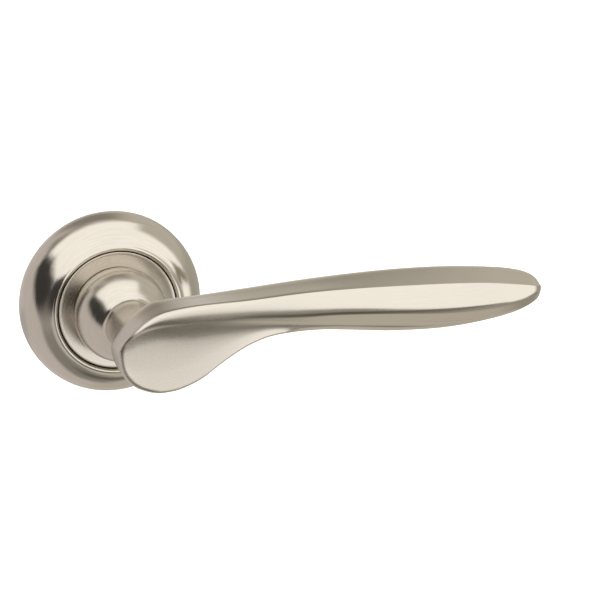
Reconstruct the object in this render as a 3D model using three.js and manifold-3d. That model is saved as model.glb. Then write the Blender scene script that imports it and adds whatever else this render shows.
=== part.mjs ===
// A door lever handle on a round rose: one side of a pair, with its return spring and its fixings.
// The door's face is the plane y = 0 and the room lies on the -Y side. +X runs along the grip,
// +Z is up, and the spindle turns about the Y axis. A "height" is a distance out from the door's
// face, so the point at height h has y = -h. All sizes are in millimetres.
import * as THREE from "three";
import { mergeVertices } from "three/addons/utils/BufferGeometryUtils.js";
import Module from "manifold-3d";

const wasm = await Module();
wasm.setup();

// ---------- driving dimensions ----------
// Clearances
const fitGap = 0.3; // between pieces that drop into each other
const stackGap = 0.1; // between flat pieces stacked along the spindle
const turnGap = 0.2; // between a turning shank and the hole round it
const bite = 0.5; // how far two shapes of one piece run into each other
const welded = 1e-4; // corners closer than this are one corner

// Rose
const roseRadius = 26.5;
const roseSkirt = 1.2; // upright edge at the door
const crownRadius = 19.2; // where the dome meets the bead
const crownHeight = 10.8;
const beadHeight = 11.6;
const lipRadius = 17.5; // the opening in the middle of the rose
const lipDepth = 1.9;
const coverWall = 0.9;
const domeSweep = 80; // degrees of the quarter ellipse that the dome follows

// Dished ring between the rose and the ball
const ringGap = 0.7; // round the ball
const ringInnerHeight = 9.9;
const ringOuterHeight = 11.1;

// Base plate
const floorThickness = 3.4;
const hubRadius = 16.8;
const hubHeight = 9.2;
const hubCeiling = 1.2; // wall in front of the spring chamber
const chamberRadius = 13.6;
const bushHoleRadius = 9.5;
const snapGrooveHeight = 1.7;
const snapWire = 0.9;
const stopRadius = 11.6; // inner radius of the stop blocks
const lugPlaces = [90, 270]; // degrees, counted from +X towards +Z

// Lever
const ballRadius = 13.5;
const ballHeight = 15.7;
const neckRadius = 7.4;
const shankRadius = 8;
const shankEnd = 0.9;
const flatHalf = 7; // half the distance across the shank's two flats
const leverBack = 45.5;
const leverTurn = 45; // degrees from rest to fully pressed

// Spindle and its screw
const spindleSide = 8;
const spindleReach = 45; // how far it stands out behind the rose
const socketDepth = 41;
const grubRadius = 2.9;
const grubHeight = 36.5;
const grubLength = 3.4;
const hexAcross = 3;
const hexDepth = 1.53; // of the screw's socket

// Spring chamber pieces, from the door outwards
const chamberLidThickness = 0.6;
const chamberLidRadius = 16.6;
const chamberLidHoleGap = 1; // round the spindle's corners
const circlipThickness = 0.7;
const circlipRadius = 9.7;
const circlipGroove = 7.3;
const circlipEnds = [115, 425]; // degrees
const circlipEars = [117, 423];
const circlipEar = 1.3;
const washerThickness = 0.5;
const washerRadius = 12.4;
const camThickness = 1.2;
const camRadius = 11.2;
const camLugRadius = 13.1;
const camLugAngle = 24;
const tabHeight = 2.6;
const tabAngle = 8;
const tabPlace = 8;
const wire = 1.15;
const springRadius = 10.3;
const springPitch = 1.2;
const springTurns = 2;
const legRadius = 12.7; // how far out the two legs reach
const legBend = 12; // degrees over which a leg turns outwards
const stopAngle = 14;
const bushWall = 1.1;
const bushFlangeGap = 0.9; // from the flange out to the dished ring
const bushFlange = 0.7;

// Fixings
const fixingSpacing = 38;
const boltRadius = 2;
const boltHead = 3.5;
const boltHeadHeight = 2.4;
const boltLength = 20;
const boltHeadTaper = 0.75; // top of the pan head as a share of its radius
const boltPoint = [0.4, 0.5]; // the chamfer at the end, across and along
const boltCross = 1.4; // half the width and all the depth of the cross recess
const woodRadius = 1.7;
const woodHead = 3.3;
const woodHeadHeight = 1.9;
const woodLength = 17;
const woodPoint = 4;
const woodDome = 0.3;
const woodCross = 1.2;
const lidScrewPlace = 15.1;
const lidScrewAngles = [45, 165, 285];
const lidScrewRadius = 0.9;
const lidScrewHead = 1.5;
const lidScrewHeadHeight = 0.5;
const lidScrewLength = 5;
const lidScrewSlot = 0.4;
const crossWidth = 0.9;

// Grip: outline and depth as smooth curves through a few places along the lever, [x, size]
const gripEnd = 114.1;
const gripStart = -10.5;
const gripTop = [[-8.2, 6.2], [-4, 11], [2, 13], [19, 14.2], [40, 15.7], [68, 17.1], [88, 16.4], [102, 14.8],
  [108, 13.6]];
const gripBottom = [[-8.2, -6.4], [-3, -10], [4, -10.8], [14, -8.8], [28, -0.2], [38, 2.5], [56, 1.4],
  [70, 0.1], [84, -0.8], [94, 0.1], [103, 1.6], [108, 3.1]];
const gripFront = [[-8.2, 56.3], [20, 57], [60, 57.6], [90, 55.6], [108, 53]];
const gripBack = [[-8.2, 45.8], [20, 45], [60, 44], [90, 44], [108, 46.2]];
const startMiddle = [51, 0]; // height and z where the round end closes
const tipMiddle = [49.6, 8.9]; // height and z of the tip
const paddleSquareness = 4;
const gripSquareness = 2.3;
const paddleLength = 45;

// Faceting
const wide = 44; // segments round a large turned piece
const middling = 40; // segments round a bush, washer or cam
const neckSides = 32;
const fine = 18; // segments round a small turned piece
const tiny = 16; // segments round a lid screw
const roundSteps = 12; // curve segments of a flat outline, and degrees to a step of a sector
const domeSteps = 6;
const beadSteps = 4;
const ballSteps = 9;
const snapSides = 6;
const wireSides = 3; // curve segments to a quarter of the spring's wire
const curveSamples = 200;
const gripSteps = 26;
const gripSides = 16;
const springSteps = 16; // steps to one turn
const legSteps = 8; // steps in the two legs

// ---------- materials ----------
function metal(colour, roughness, metalness = 1) {
  return new THREE.MeshStandardMaterial({ color: colour, roughness, metalness });
}

const satinNickel = metal(0xb9afa0, 0.34);
const polishedNickel = metal(0xc4baa9, 0.16);
const castZinc = metal(0x8d8e8c, 0.55);
const zincedSteel = metal(0xa8abb0, 0.4);
const springSteel = metal(0x6d6f73, 0.35);
const nylon = metal(0xe6e3da, 0.6, 0);

// ---------- making solids ----------
const degree = Math.PI / 180;
const object = new THREE.Group();

// A closed geometry as a solid that can be cut and joined.
function solid(geometry) {
  const bare = geometry.clone();
  bare.deleteAttribute("normal");
  bare.deleteAttribute("uv");
  const merged = mergeVertices(bare, welded);
  const vertProperties = new Float32Array(merged.attributes.position.array);
  const triVerts = new Uint32Array(merged.index.array);
  return new wasm.Manifold(new wasm.Mesh({ numProp: 3, vertProperties, triVerts }));
}

function place(name, shape, material) {
  const mesh = shape.getMesh();
  const geometry = new THREE.BufferGeometry();
  geometry.setAttribute("position", new THREE.BufferAttribute(mesh.vertProperties, 3));
  geometry.setIndex(new THREE.BufferAttribute(mesh.triVerts, 1));
  geometry.computeVertexNormals();
  const piece = new THREE.Mesh(geometry, material);
  piece.name = name;
  object.add(piece);
}

// A solid turned about the spindle's axis, from [radius, height] points in either order.
function turned(profile, segments) {
  const points = profile.map(([radius, height]) => new THREE.Vector2(radius, -height));
  if (THREE.ShapeUtils.isClockWise(points)) points.reverse();
  const onAxis = points.findIndex((p, i) => p.x === 0 && points[(i + 1) % points.length].x === 0);
  if (onAxis < 0) points.push(points[0].clone());
  else points.push(...points.splice(0, onAxis + 1));
  return solid(new THREE.LatheGeometry(points, segments));
}

function disc(radius, low, high, segments = fine) {
  return turned([[0, low], [radius, low], [radius, high], [0, high]], segments);
}

function washer(inner, outer, low, high, segments = fine) {
  return turned([[inner, low], [outer, low], [outer, high], [inner, high]], segments);
}

function block(width, height, low, high, x = 0, z = 0) {
  const box = new THREE.BoxGeometry(width, high - low, height);
  box.translate(x, -(low + high) / 2, z);
  return solid(box);
}

// A flat outline in the plane of the door, made thick from one height to another.
function slab(shape, low, high, curveSegments = roundSteps) {
  const options = { depth: high - low, bevelEnabled: false, curveSegments };
  const geometry = new THREE.ExtrudeGeometry(shape, options);
  geometry.rotateX(Math.PI / 2);
  geometry.translate(0, -low, 0);
  return solid(geometry);
}

// Part of a ring, between two angles counted from +X towards +Z.
function sector(inner, outer, from, to, low, high) {
  const shape = new THREE.Shape();
  shape.absarc(0, 0, outer, from * degree, to * degree, false);
  shape.absarc(0, 0, inner, to * degree, from * degree, true);
  shape.closePath();
  return slab(shape, low, high, 4 + Math.ceil((to - from) / roundSteps));
}

function moved(shape, x, z) {
  return shape.translate([x, 0, z]);
}

// ---------- heights in the spring chamber ----------
const chamberTop = hubHeight - hubCeiling;
const lidTop = stackGap + chamberLidThickness;
const circlipLow = shankEnd + fitGap;
const circlipHigh = circlipLow + circlipThickness;
const washerLow = circlipHigh + stackGap;
const camLow = washerLow + washerThickness + stackGap;
const camHigh = camLow + camThickness;
const flangeLow = hubHeight + stackGap / 2;
const ballBack = flangeLow + bushFlange + stackGap;
const ringInnerRadius = Math.sqrt(ballRadius ** 2 - (ballHeight - ringInnerHeight) ** 2) + ringGap;
const bushFlangeRadius = ringInnerRadius - bushFlangeGap;
const domeRise = crownHeight - roseSkirt - coverWall; // of the dome's inside, above the skirt
const domeRun = roseRadius - crownRadius - coverWall;
const rimAtFloor = crownRadius + domeRun * Math.sqrt(1 - ((floorThickness - roseSkirt) / domeRise) ** 2);
const baseRadius = Math.min(roseRadius - coverWall - fitGap, rimAtFloor - stackGap);
const fixingRadius = fixingSpacing / 2;

// ---------- rose ----------
function domeProfile(inset) {
  const points = [];
  for (let i = 0; i <= domeSteps; i++) {
    const angle = (domeSweep * degree * i) / domeSteps;
    const radius = crownRadius + (roseRadius - crownRadius - inset) * Math.cos(angle);
    const height = roseSkirt + (crownHeight - roseSkirt - inset) * Math.sin(angle);
    points.push([radius, height]);
  }
  return points;
}

function roseCover() {
  const beadRadius = (crownRadius - lipRadius) / 2;
  const bead = [];
  for (let i = 1; i < beadSteps; i++) {
    const angle = Math.PI * (i / beadSteps);
    const radius = lipRadius + beadRadius * (1 + Math.cos(angle));
    bead.push([radius, crownHeight + (beadHeight - crownHeight) * Math.sin(angle)]);
  }
  const outside = [[roseRadius, 0], ...domeProfile(0), ...bead, [lipRadius, crownHeight]];
  const bottom = beadHeight - lipDepth;
  const lip = [[lipRadius, bottom], [lipRadius + coverWall, bottom]];
  const inside = [...domeProfile(coverWall).reverse(), [roseRadius - coverWall, 0]];
  return turned([...outside, ...lip, ...inside], wide);
}

function trimRing() {
  const outer = lipRadius - fitGap;
  const seat = hubHeight + stackGap / 2;
  return turned([[ringInnerRadius, seat], [outer, seat], [outer, ringOuterHeight],
    [ringInnerRadius, ringInnerHeight]], wide);
}

// ---------- base plate ----------
// The cam's two lugs each swing in a window of the chamber; a block stands at both ends of it.
function stopBlocks() {
  const blocks = [];
  for (const middle of lugPlaces) {
    const slack = (fitGap / camLugRadius) / degree;
    const high = middle + camLugAngle / 2 + slack;
    const low = middle - leverTurn - camLugAngle / 2 - slack;
    blocks.push(sector(stopRadius, chamberRadius + bite, high, high + stopAngle, camLow, chamberTop + bite));
    blocks.push(sector(stopRadius, chamberRadius + bite, low - stopAngle, low, camLow, chamberTop + bite));
  }
  return blocks;
}

function basePlate() {
  const grooveLow = snapGrooveHeight - snapWire / 2 - stackGap;
  const grooveHigh = snapGrooveHeight + snapWire / 2 + stackGap;
  const grooveFloor = baseRadius - snapWire - stackGap;
  const lidSeat = chamberLidRadius + fitGap;
  let plate = turned([[lidSeat, 0], [baseRadius, 0], [baseRadius, grooveLow], [grooveFloor, grooveLow],
    [grooveFloor, grooveHigh], [baseRadius, grooveHigh], [baseRadius, floorThickness],
    [hubRadius, floorThickness], [hubRadius, hubHeight], [bushHoleRadius, hubHeight],
    [bushHoleRadius, chamberTop], [chamberRadius, chamberTop], [chamberRadius, lidTop + stackGap],
    [lidSeat, lidTop + stackGap]], wide);
  for (const stop of stopBlocks()) plate = plate.add(stop);
  for (const side of [-1, 1]) {
    const hole = disc(boltRadius + turnGap, -bite, hubHeight);
    const pocket = disc(boltHead + fitGap, floorThickness, hubHeight + bite);
    plate = plate.subtract(moved(hole.add(pocket), side * fixingRadius, 0));
    const sink = turned([[0, -bite], [woodRadius + turnGap, -bite], [woodRadius + turnGap,
      floorThickness - woodHeadHeight - fitGap], [woodHead + fitGap, floorThickness],
      [woodHead + fitGap, hubHeight + bite], [0, hubHeight + bite]], fine);
    plate = plate.subtract(moved(sink, 0, side * fixingRadius));
  }
  for (const [x, z] of lidScrewPlaces()) {
    const hole = disc(lidScrewRadius + stackGap, 0, lidTop + lidScrewLength + stackGap);
    plate = plate.subtract(moved(hole, x, z));
  }
  return plate;
}

function snapRing() {
  const middle = baseRadius - snapWire / 2 + stackGap;
  const half = snapWire / 2;
  const points = [];
  for (let i = 0; i < snapSides; i++) {
    const angle = (2 * Math.PI * i) / snapSides;
    points.push([middle + half * Math.cos(angle), snapGrooveHeight + half * Math.sin(angle)]);
  }
  const opening = block(3 * snapWire, 3 * snapWire, 0, floorThickness, 0, -middle);
  return turned(points, wide).subtract(opening);
}

function bearingBush() {
  const bore = shankRadius + turnGap;
  const low = camHigh + stackGap;
  const flangeHigh = flangeLow + bushFlange;
  return turned([[bore, low], [bore + bushWall, low], [bore + bushWall, flangeLow],
    [bushFlangeRadius, flangeLow], [bushFlangeRadius, flangeHigh], [bore, flangeHigh]], middling);
}

// ---------- lid of the spring chamber and its screws ----------
function lidScrewPlaces() {
  return lidScrewAngles.map((angle) => [
    lidScrewPlace * Math.cos(angle * degree),
    lidScrewPlace * Math.sin(angle * degree),
  ]);
}

function chamberLid() {
  const corner = (spindleSide / 2) * Math.SQRT2;
  let lid = washer(corner + chamberLidHoleGap, chamberLidRadius, stackGap, lidTop, wide);
  const hole = disc(lidScrewRadius + stackGap, -bite, lidTop + bite, tiny);
  const sink = disc(lidScrewHead + stackGap, -bite, stackGap + lidScrewHeadHeight / 2, tiny);
  for (const [x, z] of lidScrewPlaces()) lid = lid.subtract(moved(hole, x, z)).subtract(moved(sink, x, z));
  return lid;
}

// The head lies flush in the lid, so its slot is open towards the door.
function lidScrew([x, z]) {
  const headTop = lidScrewHeadHeight / 2;
  const shape = turned([[0, 0], [lidScrewHead, 0], [lidScrewHead, headTop], [lidScrewRadius, headTop],
    [lidScrewRadius, lidTop + lidScrewLength], [0, lidTop + lidScrewLength]], tiny);
  const slot = block(1.5 * lidScrewHead, lidScrewSlot, -bite, headTop / 2);
  return moved(shape.subtract(slot), x, z);
}

// ---------- fixings ----------
function crossRecess(size, top) {
  const depth = top - size;
  const level = block(2 * size, crossWidth, depth, top + bite);
  return level.add(block(crossWidth, 2 * size, depth, top + bite));
}

function fixingBolt(side) {
  const seat = floorThickness + stackGap;
  const top = seat + boltHeadHeight;
  const end = seat - boltLength;
  const shape = turned([[0, end], [boltRadius - boltPoint[0], end], [boltRadius, end + boltPoint[1]],
    [boltRadius, seat], [boltHead, seat], [boltHead, (seat + top) / 2], [boltHead * boltHeadTaper, top],
    [0, top]], fine);
  return moved(shape.subtract(crossRecess(boltCross, top)), side * fixingRadius, 0);
}

function woodScrew(side) {
  const top = floorThickness;
  const tip = top - woodLength;
  const shape = turned([[0, tip], [woodRadius, tip + woodPoint], [woodRadius, top - woodHeadHeight],
    [woodHead, top], [0, top + woodDome]], fine);
  return moved(shape.subtract(crossRecess(woodCross, top + woodDome)), 0, side * fixingRadius);
}

// ---------- parts that turn with the lever ----------
// A smooth rise or fall through the [x, size] places of a grip curve.
function reader(places) {
  const curve = new THREE.SplineCurve(places.map(([x, size]) => new THREE.Vector2(x, size)));
  const samples = curve.getPoints(curveSamples);
  return (x) => {
    const next = samples.findIndex((point) => point.x >= x);
    if (next <= 0) return next < 0 ? samples[samples.length - 1].y : samples[0].y;
    const a = samples[next - 1];
    const b = samples[next];
    return a.y + ((b.y - a.y) * (x - a.x)) / (b.x - a.x);
  };
}

// One cross-section of the grip: a rounded box between its four edges.
function gripSection(x, edges, squareness) {
  const points = [];
  const middle = [(edges.front + edges.back) / 2, (edges.top + edges.bottom) / 2];
  const half = [(edges.front - edges.back) / 2, (edges.top - edges.bottom) / 2];
  for (let i = 0; i < gripSides; i++) {
    const angle = (2 * Math.PI * i) / gripSides;
    const across = Math.sign(Math.cos(angle)) * Math.abs(Math.cos(angle)) ** (2 / squareness);
    const up = Math.sign(Math.sin(angle)) * Math.abs(Math.sin(angle)) ** (2 / squareness);
    points.push(new THREE.Vector3(x, -(middle[0] + half[0] * across), middle[1] + half[1] * up));
  }
  return points;
}

function skin(rings, start, end) {
  const corners = [start, ...rings.flat(), end];
  const faces = [];
  const at = (ring, side) => 1 + ring * gripSides + (side % gripSides);
  for (let side = 0; side < gripSides; side++) {
    faces.push(0, at(0, side), at(0, side + 1));
    for (let ring = 0; ring < rings.length - 1; ring++) {
      faces.push(at(ring, side), at(ring + 1, side), at(ring + 1, side + 1));
      faces.push(at(ring, side), at(ring + 1, side + 1), at(ring, side + 1));
    }
    faces.push(at(rings.length - 1, side), corners.length - 1, at(rings.length - 1, side + 1));
  }
  const geometry = new THREE.BufferGeometry().setFromPoints(corners);
  geometry.setIndex(faces);
  return solid(geometry);
}

function grip() {
  const read = {
    top: reader(gripTop),
    bottom: reader(gripBottom),
    front: reader(gripFront),
    back: reader(gripBack),
  };
  const first = gripTop[0][0];
  const last = gripTop[gripTop.length - 1][0];
  const rings = [];
  for (let i = 1; i < gripSteps; i++) {
    const share = (1 - Math.cos((Math.PI * i) / gripSteps)) / 2;
    const x = gripStart + (gripEnd - gripStart) * share;
    // Past the first and the last place of the curves the section shrinks, as a round end does.
    const held = Math.min(Math.max(x, first), last);
    const over = x < first ? (first - x) / (first - gripStart) : Math.max(0, (x - last) / (gripEnd - last));
    const close = Math.sqrt(1 - over * over);
    const centre = x < first ? startMiddle : tipMiddle;
    const edges = {};
    for (const edge of Object.keys(read)) {
      const goal = edge === "front" || edge === "back" ? centre[0] : centre[1];
      edges[edge] = goal + (read[edge](held) - goal) * close;
    }
    const blend = Math.min(1, Math.max(0, x / paddleLength));
    rings.push(gripSection(x, edges, paddleSquareness + (gripSquareness - paddleSquareness) * blend));
  }
  const start = new THREE.Vector3(gripStart, -startMiddle[0], startMiddle[1]);
  const end = new THREE.Vector3(gripEnd, -tipMiddle[0], tipMiddle[1]);
  return skin(rings, start, end);
}

function ballAndNeck() {
  const profile = [[0, shankEnd], [shankRadius, shankEnd], [shankRadius, circlipLow - stackGap],
    [circlipGroove, circlipLow - stackGap], [circlipGroove, circlipHigh + stackGap / 2],
    [shankRadius, circlipHigh + stackGap / 2], [shankRadius, ballBack]];
  const from = Math.asin((ballBack - ballHeight) / ballRadius);
  const to = Math.acos(neckRadius / ballRadius);
  for (let i = 0; i <= ballSteps; i++) {
    const angle = from + ((to - from) * i) / ballSteps;
    profile.push([ballRadius * Math.cos(angle), ballHeight + ballRadius * Math.sin(angle)]);
  }
  const inGrip = leverBack + 4;
  return turned([...profile, [neckRadius, inGrip], [0, inGrip]], neckSides);
}

function lever() {
  const beyond = 2 * shankRadius;
  let shape = ballAndNeck().add(grip());
  const side = spindleSide + 2 * stackGap;
  shape = shape.subtract(block(side, side, shankEnd - bite, socketDepth));
  for (const way of [-1, 1]) {
    const z = way * (flatHalf + beyond / 2);
    shape = shape.subtract(block(beyond, beyond, shankEnd - bite, camHigh + stackGap / 2, 0, z));
  }
  const hole = new THREE.CylinderGeometry(grubRadius + stackGap, grubRadius + stackGap, beyond, fine);
  hole.rotateX(Math.PI / 2);
  hole.translate(0, -grubHeight, -beyond / 2);
  return shape.subtract(solid(hole));
}

function spindle() {
  return block(spindleSide, spindleSide, -spindleReach, socketDepth - fitGap);
}

function grubScrew() {
  const inner = spindleSide / 2 + stackGap;
  const body = new THREE.CylinderGeometry(grubRadius, grubRadius, grubLength, fine);
  const hexCorner = hexAcross / Math.sqrt(3);
  const socket = new THREE.CylinderGeometry(hexCorner, hexCorner, grubLength, 6);
  socket.translate(0, grubLength - hexDepth, 0);
  const screw = solid(body).subtract(solid(socket));
  return screw.rotate([-90, 0, 0]).translate([0, -grubHeight, -(inner + grubLength / 2)]);
}

function circlip() {
  const inner = circlipGroove + stackGap;
  const reach = circlipRadius - circlipEar / 2;
  let clip = sector(inner, circlipRadius, ...circlipEnds, circlipLow, circlipHigh);
  for (const angle of circlipEars) {
    const ear = disc(circlipEar, circlipLow, circlipHigh, tiny);
    clip = clip.add(moved(ear, reach * Math.cos(angle * degree), reach * Math.sin(angle * degree)));
  }
  return clip;
}

function retainingWasher() {
  return washer(shankRadius + turnGap, washerRadius, washerLow, washerLow + washerThickness, middling);
}

// The cam is keyed to the shank by its flats; its lugs meet the stops and its tab holds the spring.
function stopCam() {
  let plate = disc(camRadius, camLow, camHigh, middling);
  for (const middle of lugPlaces) {
    const half = camLugAngle / 2;
    plate = plate.add(sector(camRadius - bite, camLugRadius, middle - half, middle + half, camLow, camHigh));
  }
  const from = tabPlace - tabAngle / 2;
  plate = plate.add(sector(camRadius - bite, camLugRadius, from, from + tabAngle, camLow, camHigh));
  plate = plate.add(sector(stopRadius, camLugRadius, from, from + tabAngle, camLow, camHigh + tabHeight));
  const round = disc(shankRadius + stackGap, camLow - bite, camHigh + bite, middling);
  const across = 2 * (flatHalf + stackGap);
  return plate.subtract(round.intersect(block(4 * shankRadius, across, camLow - bite, camHigh + bite)));
}

// A torsion spring: a short helix round the bush, whose two ends turn outwards as straight legs.
class SpringPath extends THREE.Curve {
  constructor(from, sweep, low) {
    super();
    Object.assign(this, { from, sweep, low });
    this.bend = legBend * degree;
  }

  getPoint(t) {
    const whole = this.sweep + 2 * this.bend;
    const run = t * whole;
    const along = Math.min(Math.max(run - this.bend, 0), this.sweep);
    const past = run - this.bend - along; // runs from -bend to 0 on one leg and 0 to bend on the other
    const quarter = (past / this.bend) * (Math.PI / 2);
    const angle = this.from + along + this.bend * Math.sin(quarter);
    const radius = springRadius + (legRadius - springRadius) * (1 - Math.cos(quarter));
    const height = this.low + (springPitch * along) / (2 * Math.PI);
    return new THREE.Vector3(radius * Math.cos(angle), -height, radius * Math.sin(angle));
  }
}

function returnSpring() {
  const beside = (wire / 2 + 3 * fitGap) / stopRadius;
  const first = (tabPlace - tabAngle / 2) * degree - beside;
  const stopEdge = lugPlaces[0] + camLugAngle / 2 + fitGap / camLugRadius / degree + stopAngle;
  const last = stopEdge * degree + beside;
  const bends = 2 * legBend * degree;
  const sweep = last - first - bends + springTurns * 2 * Math.PI;
  const path = new SpringPath(first + bends / 2, sweep, camHigh + stackGap + wire / 2);
  const section = new THREE.Shape();
  section.absarc(0, 0, wire / 2, 0, 2 * Math.PI, false);
  const steps = Math.ceil((sweep / (2 * Math.PI)) * springSteps) + legSteps;
  return solid(new THREE.ExtrudeGeometry(section, { steps, extrudePath: path, curveSegments: wireSides }));
}

// ---------- assembly ----------
place("rose_cover", roseCover(), satinNickel);
place("trim_ring", trimRing(), polishedNickel);
place("base_plate", basePlate(), castZinc);
place("cover_snap_ring", snapRing(), springSteel);
place("bearing_bush", bearingBush(), nylon);
place("chamber_lid", chamberLid(), zincedSteel);
lidScrewPlaces().forEach((spot, i) => place(`lid_screw_${i + 1}`, lidScrew(spot), zincedSteel));
place("fixing_bolt_left", fixingBolt(-1), zincedSteel);
place("fixing_bolt_right", fixingBolt(1), zincedSteel);
place("wood_screw_bottom", woodScrew(-1), zincedSteel);
place("wood_screw_top", woodScrew(1), zincedSteel);
place("return_spring", returnSpring(), springSteel);
place("lever", lever(), polishedNickel);
place("spindle", spindle(), zincedSteel);
place("grub_screw", grubScrew(), springSteel);
place("circlip", circlip(), springSteel);
place("retaining_washer", retainingWasher(), zincedSteel);
place("stop_cam", stopCam(), zincedSteel);

export default object;
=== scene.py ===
import math
import bmesh
import bpy
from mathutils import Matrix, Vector


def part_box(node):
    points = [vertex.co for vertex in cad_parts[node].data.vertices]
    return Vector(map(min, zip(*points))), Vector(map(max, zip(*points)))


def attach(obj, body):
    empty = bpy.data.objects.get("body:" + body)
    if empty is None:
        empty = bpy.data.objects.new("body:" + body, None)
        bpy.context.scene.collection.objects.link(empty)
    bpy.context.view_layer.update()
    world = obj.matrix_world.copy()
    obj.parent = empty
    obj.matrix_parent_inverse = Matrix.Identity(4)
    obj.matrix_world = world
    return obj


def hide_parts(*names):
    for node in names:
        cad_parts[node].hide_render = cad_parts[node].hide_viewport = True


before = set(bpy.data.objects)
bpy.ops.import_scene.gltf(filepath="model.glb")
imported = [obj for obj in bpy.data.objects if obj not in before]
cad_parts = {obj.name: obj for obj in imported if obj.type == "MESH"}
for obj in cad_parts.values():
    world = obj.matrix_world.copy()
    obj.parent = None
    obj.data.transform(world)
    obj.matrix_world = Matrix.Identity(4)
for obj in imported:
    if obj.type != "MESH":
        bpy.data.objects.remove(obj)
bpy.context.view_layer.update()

# ---------------------------------------------------------------------------------------------
# Studio. White paper lies under the handle, and a tent surrounds it: a large softbox in front
# and above, a dark opening on the left, and dimmer walls behind and below.
# The camera stands a metre away, to the left of the handle and above it.
# ---------------------------------------------------------------------------------------------
MM = 0.001

camera_yaw = math.radians(16.3)
camera_drop = math.radians(16.37)
camera_distance = 1.0
camera_aim = Vector((0.0502, -0.025, 0.0028))
looking = Vector((math.sin(camera_yaw) * math.cos(camera_drop),
                  math.cos(camera_yaw) * math.cos(camera_drop),
                  -math.sin(camera_drop)))
camera_data = bpy.data.cameras.new("camera")
camera_data.sensor_width = 36
camera_data.lens = 210
camera_data.clip_end = 50
camera = bpy.data.objects.new("camera", camera_data)
camera.location = camera_aim - looking * camera_distance
camera.rotation_euler = (math.radians(90) - camera_drop, 0, -camera_yaw)
bpy.context.scene.collection.objects.link(camera)
bpy.context.scene.camera = camera
bpy.context.scene.view_settings.view_transform = "Standard"


def feed(socket, value):
    """Links a node's input to an output, or sets it to a plain value."""
    if isinstance(value, bpy.types.NodeSocket):
        socket.id_data.links.new(value, socket)
    else:
        socket.default_value = value


def add_node(tree, kind, **inputs):
    node = tree.nodes.new(kind)
    for name, value in inputs.items():
        feed(node.inputs[name], value)
    return node


def maths(tree, operation, *values):
    node = tree.nodes.new("ShaderNodeMath")
    node.operation = operation
    for socket, value in zip(node.inputs, values):
        feed(socket, value)
    return node.outputs[0]


def mix_colour(tree, share, first, second):
    node = tree.nodes.new("ShaderNodeMix")
    node.data_type = "RGBA"
    feed(node.inputs[0], share)
    feed(node.inputs[6], first)
    feed(node.inputs[7], second)
    return node.outputs[2]


world = bpy.data.worlds.new("studio")
bpy.context.scene.world = world
world.use_nodes = True
sky = world.node_tree
sky.nodes.clear()
direction = sky.nodes.new("ShaderNodeTexCoord").outputs["Generated"]
side, depth, rise = add_node(sky, "ShaderNodeSeparateXYZ", Vector=direction).outputs
in_degrees = math.degrees(1)
bearing = maths(sky, "MULTIPLY", maths(sky, "ARCTAN2", side, maths(sky, "MULTIPLY", depth, -1)), in_degrees)
elevation = maths(sky, "MULTIPLY", maths(sky, "ARCSINE", rise), in_degrees)


def ramp(value, low, high, start=0, end=1, blending="SMOOTHSTEP"):
    """Goes from start at low to end at high, and stays level outside."""
    node = sky.nodes.new("ShaderNodeMapRange")
    node.interpolation_type = blending
    feed(node.inputs["Value"], value)
    for label, number in (("From Min", low), ("From Max", high), ("To Min", start), ("To Max", end)):
        node.inputs[label].default_value = number
    return node.outputs[0]


def all_of(*masks):
    product = masks[0]
    for mask in masks[1:]:
        product = maths(sky, "MULTIPLY", product, mask)
    return product


wall_colour = (0.66, 0.61, 0.585, 1)
right_wall_colour = (0.62, 0.59, 0.52, 1)
right_low_colour = (0.47, 0.45, 0.39, 1)
rear_high_colour = (0.31, 0.287, 0.247, 1)
rear_low_colour = (0.50, 0.48, 0.46, 1)
backdrop_colour = (0.95, 0.94, 0.92, 1)
table_colour = (0.60, 0.565, 0.50, 1)
front_low_colour = (0.30, 0.285, 0.26, 1)
lap_colour = (0.14, 0.134, 0.112, 1)
opening_colour = (0.055, 0.05, 0.047, 1)
softbox_colour = (1.30, 1.28, 1.25, 1)

# Bearings run from 0 straight out of the door to 90 on the right, elevations from 0 level to 90
# overhead. The softbox's left edge and the dark opening beside it lean to the left.
lean = 1.45
softbox_edge, opening_end = -16, -88
leaning = maths(sky, "ADD", bearing, maths(sky, "MULTIPLY", elevation, lean))
right_side = ramp(side, -0.1, 0.3)
right_wall = mix_colour(sky, ramp(elevation, 18, 2), right_wall_colour, right_low_colour)
straight_behind = all_of(ramp(maths(sky, "ABSOLUTE", side), 0.46, 0.14), ramp(depth, 0.3, 0.42),
                         ramp(elevation, 17, 27), ramp(elevation, 66, 56))
left_behind = all_of(ramp(bearing, -146, -132), ramp(bearing, -108, -116),
                     ramp(elevation, 30, 40), ramp(elevation, 60, 52))
low_behind = all_of(ramp(depth, 0.5, 0.75), ramp(elevation, -12, -20), ramp(elevation, -34, -26))
backdrop = ramp(depth, 0.93, 0.985)
table = all_of(ramp(bearing, 15, 35), ramp(elevation, -34, -44))
low_front = all_of(ramp(bearing, -62, -40), ramp(bearing, 34, 14),
                   ramp(elevation, -84, -70), ramp(elevation, -16, -30))
lap = all_of(ramp(bearing, -14, 0), ramp(bearing, 22, 40, 1, 0.45, "LINEAR"),
             ramp(elevation, -60, -52), ramp(elevation, -30, -36), ramp(depth, 0.4, 0.1))
opening = all_of(ramp(leaning, opening_end - 5, opening_end + 5), ramp(bearing, -118, -114),
                 ramp(leaning, softbox_edge + 2, softbox_edge - 2),
                 ramp(elevation, -30, -6), ramp(bearing, 8, -6))
softbox_left = maths(sky, "MAXIMUM", ramp(leaning, softbox_edge - 1.5, softbox_edge + 1.5),
                     ramp(elevation, 37, 39))
softbox_right = maths(sky, "MAXIMUM", ramp(bearing, 76, 60),
                      all_of(ramp(elevation, 42, 56), ramp(side, 0.62, 0.5)))
softbox = all_of(softbox_left, ramp(depth, 0.31, 0.28), ramp(elevation, -50, -46), softbox_right)

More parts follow.
